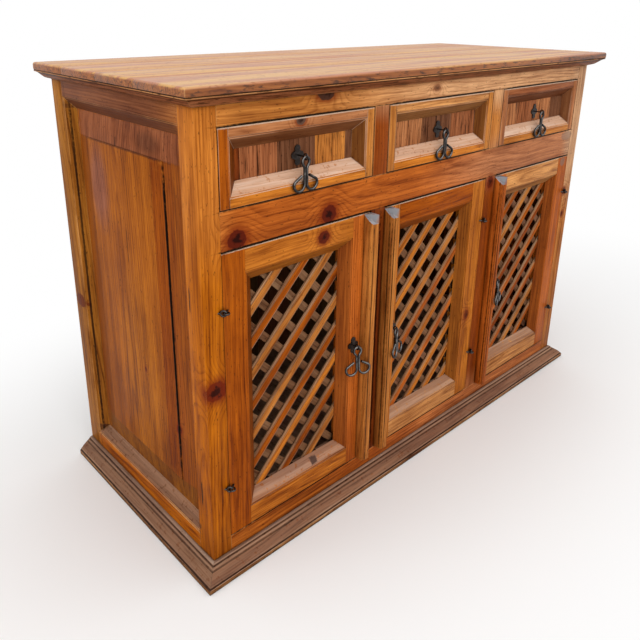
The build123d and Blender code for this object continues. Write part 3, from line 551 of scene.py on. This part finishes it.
    # Painted shade in the corners and gaps, darker the more closed in they are, with the grime there
    corner = add_node(
        tree, "ShaderNodeAmbientOcclusion", {"Distance": CORNER_REACH}, samples=6, only_local=False
    ).outputs["AO"]
    colour = over(remap(corner, 0.80, 0.22, 0.0, 0.9), colour, SHADE_AND_GRIME)
    for mask, code in last_marks:
        colour = over(mask, colour, code)
    tree.links.new(colour, shader.inputs["Base Color"])

    # Varnish sits thinner on some streaks, so they shine less, and the late rings stand up a little
    tree.links.new(remap(fine, 0.25, 0.75, polish - 0.08, polish + 0.12), shader.inputs["Roughness"])
    relief = maths("MULTIPLY_ADD", late, 0.4, fine)
    bump = add_node(tree, "ShaderNodeBump", {"Strength": 0.4, "Distance": 0.0006, "Height": relief})
    tree.links.new(bump.outputs["Normal"], shader.inputs["Normal"])
    shader.inputs["IOR"].default_value = 1.5
    shader.inputs["Specular IOR Level"].default_value = shine
    return made


def iron_material(name, pale_edge, dark):
    """Wrought iron, bent by hand and blackened with oil, rubbed grey on the sides that hands touch.

    The eye gets dark metal with soft hammer marks, a greyer crest on the wire that is rubbed metal
    with a painted highlight, and brown rust spots.
    """
    sizes = bpy.context.scene.sideboard_sizes
    made, tree, shader = new_material(name)
    wiring = Wiring(tree)
    coordinates = add_node(tree, "ShaderNodeTexCoord").outputs
    hammer = wiring.noise(coordinates["Object"], 1 / sizes.hammer_mark)["Fac"]
    rust = wiring.noise(coordinates["Object"], 140.0, 4.0, 0.65)["Fac"]

    # The crest of the wire faces out of the sideboard and up, and is painted paler there: rubbed metal
    # and a painted highlight
    outward = wiring.vectors("DOT_PRODUCT", coordinates["Normal"], (-0.35, -0.75, 0.55))["Value"]
    uneven = wiring.maths("MULTIPLY_ADD", hammer, 0.5, outward)
    metal = wiring.over(wiring.remap(uneven, 0.95, 1.3, 0.0, pale_edge, True), dark, BARE_IRON_HIGHLIGHT)

    # Rust covers the metal in spots, and they shine less
    spots = wiring.remap(rust, 0.56, 0.70, 0.0, RUST_SHARE)
    tree.links.new(wiring.over(spots, metal, RUST), shader.inputs["Base Color"])
    tree.links.new(wiring.remap(spots, 0.0, RUST_SHARE, 0.65, 0.2), shader.inputs["Metallic"])
    shader.inputs["Roughness"].default_value = 0.4
    bump = add_node(tree, "ShaderNodeBump", {"Strength": 0.2, "Distance": 0.0005, "Height": hammer})
    tree.links.new(bump.outputs["Normal"], shader.inputs["Normal"])
    return made


def islands(mesh):
    """The separate boards of a mesh: lists of vertex numbers."""
    parent = list(range(len(mesh.vertices)))

    def root(item):
        while parent[item] != item:
            parent[item] = parent[parent[item]]
            item = parent[item]
        return item

    for edge in mesh.edges:
        first, second = root(edge.vertices[0]), root(edge.vertices[1])
        parent[first] = second
    groups = {}
    for item in range(len(parent)):
        groups.setdefault(root(item), []).append(item)
    return list(groups.values())


# Ways that boards can run: along X, Z and Y, and the two slants of the lattice
AXES = [Vector((1, 0, 0)), Vector((0, 0, 1)), Vector((0, 1, 0))]
SLANTS = [Vector((1, 0, 1)).normalized(), Vector((-1, 0, 1)).normalized()]

# How boards differ: where they lie along the log, how far its heart is from their middle across them
# (as a share of their width) and under them, how much they lean, and how strong their stain is
LOG_LENGTH = 9
HEART_ACROSS = 0.4
HEART_UNDER = (0.012, 0.045)
LEAN = 0.03
STAIN_STRENGTH = (0.93, 1.07)

# Dust on the slats of a lattice: how far behind the front it starts, how far back the rear layer is,
# how much of it there is, and how much painted shade dims the rear layer
LIP_START = 0.0008
REAR_LAYER = 0.004
DUST_SHARE = 0.6
REAR_SHADE = 0.45


def board_axes(node, own, slanted):
    """The ways along, across and through a board, by its extents."""

    def extent(way):
        return np.ptp(own @ np.array(way))

    ways = SLANTS if slanted else AXES
    if node in UPRIGHT_GRAIN:
        along = AXES[1]
    else:
        along = max(ways, key=extent)
    others = [way for way in ways if abs(way.dot(along)) < 0.5]
    if slanted:
        others.append(AXES[2])
    across, deep = sorted(others, key=lambda way: -extent(way))
    return np.array(along), np.array(across), np.array(deep)


def lay_grain(piece, node, stains, slanted):
    """Give each board of a piece its own grain and stain.

    The grain is the place in the log: along it, and the two distances from its heart.
    """
    palette = bpy.context.scene.sideboard_stains
    mesh = piece.data
    points = np.empty(len(mesh.vertices) * 3)
    mesh.vertices.foreach_get("co", points)
    points = points.reshape(-1, 3)
    grain = np.zeros_like(points)
    stain = np.ones((len(points), 4))

    def order(board):
        return [round(value, 3) for value in points[board].mean(0)[[0, 2, 1]]]

    for index, board in enumerate(sorted(islands(mesh), key=order)):
        chance = random.Random(f"{node} board {index}")
        own = points[board]
        along, across, deep = board_axes(node, own, slanted)
        away = own - (own.max(0) + own.min(0)) / 2
        lengthways = away @ along
        heart = chance.uniform(-HEART_ACROSS, HEART_ACROSS) * np.ptp(own @ across)
        depth = chance.uniform(*HEART_UNDER) * chance.choice((-1, 1))
        lean = chance.uniform(-LEAN, LEAN)
        grain[board, 0] = lengthways + chance.uniform(0, LOG_LENGTH)
        grain[board, 1] = away @ across - heart
        grain[board, 2] = away @ deep - depth + lean * lengthways
        colour = np.array(getattr(palette, stains[index % len(stains)]))
        stain[board, :3] = colour * chance.uniform(*STAIN_STRENGTH)
        # The slats are dusty behind their front faces, and the rear layer is dusty all over and dimmed by
        # painted shade
        if slanted:
            front = own[:, 1].min()
            rear = front > points[:, 1].min() + REAR_LAYER
            rows = np.array(board)[own[:, 1] > (front - 1 if rear else front + LIP_START)]
            coated = stain[rows, :3] * (1 - DUST_SHARE) + np.array(palette.dust) * DUST_SHARE
            stain[rows, :3] = coated * (REAR_SHADE if rear else 1)
    held = mesh.attributes.new("grain", "FLOAT_VECTOR", "POINT")
    held.data.foreach_set("vector", grain.ravel())
    held = mesh.attributes.new("stain", "FLOAT_COLOR", "POINT")
    held.data.foreach_set("color", stain.ravel())


def body_of(node):
    """The body that a node belongs to."""
    for name, nodes in frame["record"]["behaviour"]["bodies"].items():
        if node in nodes:
            return name
    raise RuntimeError(f"no body holds {node}")


# Copies: how near points are welded, what bends count as flat, sharp and still smooth, in degrees
WELD = 0.00001
FLAT = 0.5
SHARP = 32
SMOOTH = 28


def eased_copy(node, name, ease):
    """A copy of a node's mesh with whole flat faces and eased sharp edges, whose faces are marked worn."""
    bpy.ops.object.select_all(action="DESELECT")
    piece = bpy.data.objects.new(name, frame["nodes"][node].data.copy())
    bpy.context.collection.objects.link(piece)
    piece.select_set(True)
    bpy.context.view_layer.objects.active = piece
    # The second of two empty slots tells the faces that the bevel makes
    piece.data.materials.clear()
    for _ in range(2):
        piece.data.materials.append(None)
    bpy.ops.object.mode_set(mode="EDIT")
    bpy.ops.mesh.select_all(action="SELECT")
    bpy.ops.mesh.customdata_custom_splitnormals_clear()
    bpy.ops.mesh.remove_doubles(threshold=WELD)
    bpy.ops.mesh.dissolve_limited(angle_limit=radians(FLAT))
    bpy.ops.mesh.select_all(action="DESELECT")
    bpy.ops.mesh.select_mode(type="EDGE")
    bpy.ops.mesh.edges_select_sharp(sharpness=radians(SHARP))
    bpy.ops.mesh.bevel(offset=ease, segments=2, affect="EDGES", clamp_overlap=True, material=1)
    bpy.ops.object.mode_set(mode="OBJECT")
    worn = [float(face.material_index) for face in piece.data.polygons]
    piece.data.materials.clear()
    held = piece.data.attributes.new("worn", "FLOAT", "FACE")
    held.data.foreach_set("value", worn)
    bpy.ops.object.shade_smooth_by_angle(angle=radians(SMOOTH))
    return piece


def dress(node, material, ease, slanted=False):
    """Stand an eased, grained copy in for a wooden node."""
    piece = eased_copy(node, f"pine_{node}", ease)
    lay_grain(piece, node, BOARDS[node], slanted)
    piece.data.materials.append(material)
    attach(piece, body_of(node))
    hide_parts(node)


class SIDEBOARD_OT_top(bpy.types.Operator):
    """Dress the boards of the top"""

    bl_idname = "sideboard.top"
    bl_label = "Top boards"

    def execute(self, context):
        wood = pine_material(
            "pine_waxed_top", polish=0.4, shine=0.4, streak=1.2, dents=0.8,
            dust_and_sheen=(0.82, "#c07e5a", "#dcaa62"), pale_edge="#c8925a",
        )
        dress("top_boards", wood, context.scene.sideboard_sizes.edge_ease)
        return {"FINISHED"}


class SIDEBOARD_OT_mouldings(bpy.types.Operator):
    """Dress the cornice and the plinth"""

    bl_idname = "sideboard.mouldings"
    bl_label = "Cornice and plinth"

    def execute(self, context):
        ease = context.scene.sideboard_sizes.inner_ease
        cornice = pine_material(
            "pine_dark_cornice", CORNICE_MARKS, streak=1.4, dents=0.8, wear=1.4,
            dust_and_sheen=(0.4, "#a87850", "#b98a66"), pale_edge="#c08c5c",
        )
        plinth = pine_material(
            "pine_weathered_plinth", PLINTH_MARKS, polish=0.5, streak=1.4, dents=0.7, wear=1.6,
            dust_and_sheen=(0.6, "#80604e", "#96745c"), pale_edge="#b8957c",
        )
        for side in ("front", "left", "right"):
            dress(f"cornice_{side}", cornice, ease)
            dress(f"plinth_{side}", plinth, ease)
        return {"FINISHED"}


class SIDEBOARD_OT_case(bpy.types.Operator):
    """Dress the posts, rails and uprights of the case"""

    bl_idname = "sideboard.case"
    bl_label = "Case frame"

    def execute(self, context):
        ease = context.scene.sideboard_sizes.edge_ease
        wood = pine_material("pine_amber_case", CASE_MARKS)
        nodes = ["post_front_left", "post_front_right", "post_back_left", "post_back_right"]
        nodes += ["side_rails_left", "side_rails_right", "top_rail", "middle_rail", "bottom_rail"]
        nodes += ["drawer_dividers", "door_partitions"]
        for node in nodes:
            dress(node, wood, ease)
        return {"FINISHED"}


class SIDEBOARD_OT_side_panels(bpy.types.Operator):
    """Dress the raised panels of the sides"""

    bl_idname = "sideboard.side_panels"
    bl_label = "Side panels"

    def execute(self, context):
        wood = pine_material(
            "pine_amber_panels", PANEL_MARKS, dust_and_sheen=(0.05, "#a07050", "#a07050"), pale_edge="#a86834"
        )
        for side in ("left", "right"):
            dress(f"side_panel_{side}", wood, context.scene.sideboard_sizes.edge_ease)
        return {"FINISHED"}


class SIDEBOARD_OT_drawers(bpy.types.Operator):
    """Dress the fronts, panels and boxes of the drawers"""

    bl_idname = "sideboard.drawers"
    bl_label = "Drawers"

    def execute(self, context):
        sizes = context.scene.sideboard_sizes
        front = pine_material(
            "pine_amber_drawers", DRAWER_MARKS, shade=0.7,
            dust_and_sheen=(1.0, "#e0b698", "#efd0b8"), pale_edge="#dfb394",
        )
        panel = pine_material("pine_rough_sawn_panels", polish=0.5, streak=1.1, sawn=0.75)
        inside = pine_material("pine_raw_drawer_boxes", polish=0.6, streak=0.5)
        for number in (1, 2, 3):
            dress(f"drawer_{number}_front", front, sizes.edge_ease)
            dress(f"drawer_{number}_panel", panel, sizes.inner_ease)
            dress(f"drawer_{number}_box", inside, sizes.inner_ease)
        return {"FINISHED"}


class SIDEBOARD_OT_doors(bpy.types.Operator):
    """Dress the frames, lattices and cover strips of the doors"""

    bl_idname = "sideboard.doors"
    bl_label = "Doors"

    def execute(self, context):
        sizes = context.scene.sideboard_sizes
        frames = pine_material("pine_amber_doors", DOOR_MARKS, shade=0.5, dust_and_sheen=(0.85, "#9c7762", "#b4937e"))
        slats = pine_material(
            "pine_lattice", polish=0.5, dust_and_sheen=(0.55, "#9a7452", "#b08e6c"), pale_edge="#c99462"
        )
        strips = pine_material(
            "pine_cover_strips", STRIP_MARKS, dust_and_sheen=(1.0, "#868a90", "#a0a2a6"), pale_edge="#c0884e"
        )
        for number in (1, 2, 3):
            dress(f"door_{number}_frame", frames, sizes.edge_ease)
            dress(f"door_{number}_lattice", slats, sizes.inner_ease, slanted=True)
            dress(f"door_{number}_cover_strip", strips, sizes.inner_ease)
        return {"FINISHED"}


class SIDEBOARD_OT_inside(bpy.types.Operator):
    """Dress the back, the floor and the drawer bearers"""

    bl_idname = "sideboard.inside"
    bl_label = "Inside and back"

    def execute(self, context):
        wood = pine_material("pine_raw_inside", polish=0.65, streak=0.6, pale_edge="#c0a078")
        nodes = ["back_rails", "back_boards", "floor_boards"]
        nodes += ["drawer_runners", "drawer_kickers", "stop_blocks"]
        for node in nodes:
            dress(node, wood, context.scene.sideboard_sizes.inner_ease)
        return {"FINISHED"}


class SIDEBOARD_OT_ironwork(bpy.types.Operator):
    """Finish the pulls and the hinge eyes in blackened iron"""

    bl_idname = "sideboard.ironwork"
    bl_label = "Ironwork"

    def execute(self, context):
        # The wire's crest gets the strongest painted highlight
        wire = iron_material("wrought_iron_worn_and_highlit", 0.8, "#211c1a")
        eye = iron_material("wrought_iron_old_wire", 0.3, "#241a16")
        plate = iron_material("wrought_iron_rusty", 0.25, "#241a15")
        for node, thing in frame["nodes"].items():
            if "pull" not in node and "hinge" not in node:
                continue
            thing.data.materials.clear()
            thing.data.materials.append(plate if "plate" in node else eye if "hinge" in node else wire)
        return {"FINISHED"}


# The stage: the floor's size and how far it lies under the feet, where its fade to white starts and
# ends (in metres from the middle, stretched to an oval), and what share of the world's light falls in
FLOOR_SIZE = 30
FLOOR_DROP = 0.0006
FADE = (1.1, 3.2)
OVAL = (1.5, 3.0, 0)
WORLD_LIGHT = 0.72

# The lamps: name, place, size and power, all turned to one point of the sideboard
LAMPS = (
    ("soft_key", (-1.6, -3.0, 2.6), 2.4, 38),
    ("soft_fill", (-3.2, 0.6, 2.0), 2.0, 16),
    ("soft_top", (0.3, -0.6, 3.4), 2.6, 24),
)
LAMPS_AIM = (0, 0, 0.45)

# The photo's camera as it was fitted: focal length and film width in millimetres, shift, and place
FOCAL_LENGTH = 36.853
FILM_WIDTH = 36
SHIFT_X, SHIFT_Y = 0.0164, -0.1388
PHOTO_VIEW = (
    (0.7354, 0.2128, -0.6433, -1.174),
    (-0.6775, 0.2447, -0.6936, -1.084),
    (0.0098, 0.946, 0.3241, 1.0415),
    (0, 0, 0, 1),
)


def stand_floor():
    """A matt white floor that fades into the white backdrop far from the sideboard."""
    bpy.ops.object.select_all(action="DESELECT")
    bpy.ops.mesh.primitive_plane_add(size=FLOOR_SIZE, location=(0, 0, -FLOOR_DROP))
    floor = bpy.context.object
    floor.name = "floor"
    plain, tree, shader = new_material("matt_white_floor")
    wiring = Wiring(tree)
    shader.inputs["Base Color"].default_value = (*linear("#f8f7f6"), 1)
    shader.inputs["Roughness"].default_value = 0.9
    place = add_node(tree, "ShaderNodeTexCoord").outputs["Object"]
    far = wiring.vectors("LENGTH", wiring.vectors("MULTIPLY", place, OVAL)[0])["Value"]
    seen = add_node(tree, "ShaderNodeLightPath").outputs["Is Camera Ray"]
    share = wiring.maths("MULTIPLY", wiring.remap(far, *FADE, smooth=True), seen)
    glow = add_node(tree, "ShaderNodeEmission", {"Color": (1, 1, 1, 1), "Strength": 1.0})
    mixed = add_node(
        tree, "ShaderNodeMixShader",
        {0: share, 1: shader.outputs["BSDF"], 2: glow.outputs["Emission"]},
    )
    output = next(item for item in tree.nodes if item.type == "OUTPUT_MATERIAL")
    tree.links.new(mixed.outputs["Shader"], output.inputs["Surface"])
    floor.data.materials.append(plain)


def light_world(scene):
    """A white world that looks whiter to the camera and in reflections than its light is."""
    world = scene.world or bpy.data.worlds.new("studio")
    scene.world = world
    world.use_nodes = True
    tree = world.node_tree
    tree.nodes.clear()
    wiring = Wiring(tree)
    path = add_node(tree, "ShaderNodeLightPath").outputs
    shown = wiring.maths("MAXIMUM", path["Is Camera Ray"], path["Is Glossy Ray"])
    strength = wiring.remap(shown, 0.0, 1.0, WORLD_LIGHT, 1.0)
    background = add_node(tree, "ShaderNodeBackground", {"Color": (1, 1, 1, 1), "Strength": strength})
    add_node(tree, "ShaderNodeOutputWorld", {"Surface": background.outputs[0]})


class SIDEBOARD_OT_stage(bpy.types.Operator):
    """Set the floor, the lights, the world and the camera"""

    bl_idname = "sideboard.stage"
    bl_label = "Stage"

    def execute(self, context):
        stand_floor()
        light_world(context.scene)
        for name, place, size, power in LAMPS:
            lamp = bpy.data.lights.new(name, "AREA")
            lamp.size = size
            lamp.energy = power
            holder = bpy.data.objects.new(name, lamp)
            context.collection.objects.link(holder)
            holder.location = place
            aim = Vector(LAMPS_AIM) - Vector(place)
            holder.rotation_euler = aim.to_track_quat("-Z", "Y").to_euler()
        lens = bpy.data.cameras.new("photo_view")
        lens.lens = FOCAL_LENGTH
        lens.sensor_width = FILM_WIDTH
        lens.shift_x, lens.shift_y = SHIFT_X, SHIFT_Y
        camera = bpy.data.objects.new("photo_view", lens)
        context.collection.objects.link(camera)
        camera.matrix_world = Matrix(PHOTO_VIEW)
        context.scene.camera = camera
        context.scene.view_settings.view_transform = "Standard"
        return {"FINISHED"}


class SIDEBOARD_PT_panel(bpy.types.Panel):
    """The sideboard's pieces and finishes"""

    bl_label = "Sideboard"
    bl_idname = "SIDEBOARD_PT_panel"
    bl_space_type = "VIEW_3D"
    bl_region_type = "UI"
    bl_category = "Sideboard"

    def draw(self, context):
        for item in STEPS:
            self.layout.operator(item.bl_idname)
        for key in SideboardSizes.__annotations__:
            self.layout.prop(context.scene.sideboard_sizes, key)
        for key in STAINS:
            self.layout.prop(context.scene.sideboard_stains, key)


STEPS = (
    SIDEBOARD_OT_stage,
    SIDEBOARD_OT_top,
    SIDEBOARD_OT_mouldings,
    SIDEBOARD_OT_case,
    SIDEBOARD_OT_side_panels,
    SIDEBOARD_OT_drawers,
    SIDEBOARD_OT_doors,
    SIDEBOARD_OT_inside,
    SIDEBOARD_OT_ironwork,
)
CLASSES = (SideboardSizes, SideboardStains, *STEPS, SIDEBOARD_PT_panel)


def register():
    for item in CLASSES:
        bpy.utils.register_class(item)
    bpy.types.Scene.sideboard_sizes = bpy.props.PointerProperty(type=SideboardSizes)
    bpy.types.Scene.sideboard_stains = bpy.props.PointerProperty(type=SideboardStains)


def unregister():
    del bpy.types.Scene.sideboard_stains
    del bpy.types.Scene.sideboard_sizes
    for item in reversed(CLASSES):
        bpy.utils.unregister_class(item)


def main():
    """Build all the looks."""
    register()
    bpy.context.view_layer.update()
    for item in STEPS:
        group, action = item.bl_idname.split(".")
        getattr(getattr(bpy.ops, group), action)()


if __name__ == "__main__":
    main()
